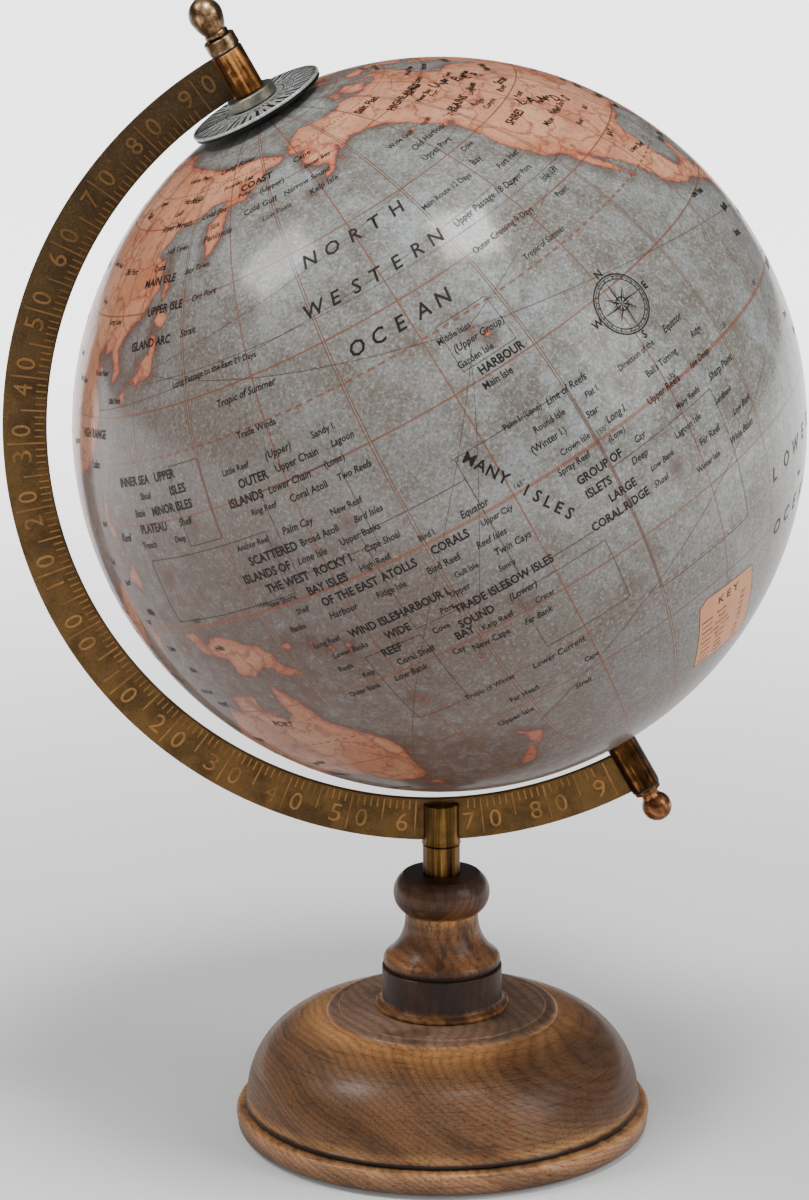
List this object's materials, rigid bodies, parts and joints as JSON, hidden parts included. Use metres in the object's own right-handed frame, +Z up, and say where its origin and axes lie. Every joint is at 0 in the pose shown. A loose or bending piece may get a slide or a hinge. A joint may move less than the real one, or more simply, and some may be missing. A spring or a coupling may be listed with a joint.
{
  "type": "desktop globe on stand",
  "caption": "Tilted desktop globe that spins in a graduated half-circle brass arm, on a turned wooden column and domed wooden base.",
  "frame": {"origin": "middle of the felt's underside, on the stem axis", "axes": "+Z up along the stem; the half-circle arm stands in the XZ plane; the north pole leans to -X"},
  "size_m": [0.2223, 0.2032, 0.328],
  "materials": {
    "turned_wood": "dark stained, satin varnish, rubbed lighter on the rings",
    "felt": "short dark felt",
    "steel": "plain zinc plated",
    "antique_brass": "polished antique brass with dark patches",
    "dark_brass": "darkened brass, raised marks rubbed bright",
    "nickel": "dull nickel plate",
    "black_metal": "blackened",
    "black_plastic": "satin black",
    "bronze": "aged bronze",
    "brushed_silver": "brushed, printed black marks",
    "ball_shell": "moulded half balls",
    "printed_map": "printed map under clear gloss varnish",
    "bush_plastic": "natural"
  },
  "bodies": {
    "stand": {"base_dome": "turned_wood", "base_felt": "felt", "base_washer": "steel", "column": "turned_wood", "stem_sleeve": "antique_brass"},
    "arm": {"arm_socket": "antique_brass", "meridian_arm": "dark_brass", "tie_rod": "steel", "base_nut": "steel", "north_barrel": "antique_brass", "south_barrel": "antique_brass", "axle_rod": "steel", "dial_spacer": "nickel", "north_lock_washer": "black_metal", "south_lock_washer": "black_metal", "south_thrust_washer": "black_plastic", "north_finial": "bronze", "south_finial": "bronze"},
    "dial": {"hour_dial": "brushed_silver", "dial_backing": "black_plastic"},
    "globe": {"north_hemisphere": "ball_shell", "south_hemisphere": "ball_shell", "equator_ring": "ball_shell", "map_gores": "printed_map", "north_pole_cap": "black_plastic", "south_pole_cap": "black_plastic", "north_bush": "bush_plastic", "south_bush": "bush_plastic"}
  },
  "joints": [
    {"name": "arm_swivel", "type": "hinge", "parent": "stand", "child": "arm", "pos_m": [0, 0, 0.08524], "axis": [0, 0, 1], "continuous": true},
    {"name": "dial_turn", "type": "hinge", "parent": "arm", "child": "dial", "pos_m": [0, 0, 0.20713], "axis": [-0.4772, 0, 0.8788], "continuous": true},
    {"name": "globe_spin", "type": "hinge", "parent": "arm", "child": "globe", "pos_m": [0, 0, 0.20713], "axis": [-0.4772, 0, 0.8788], "continuous": true}
  ]
}
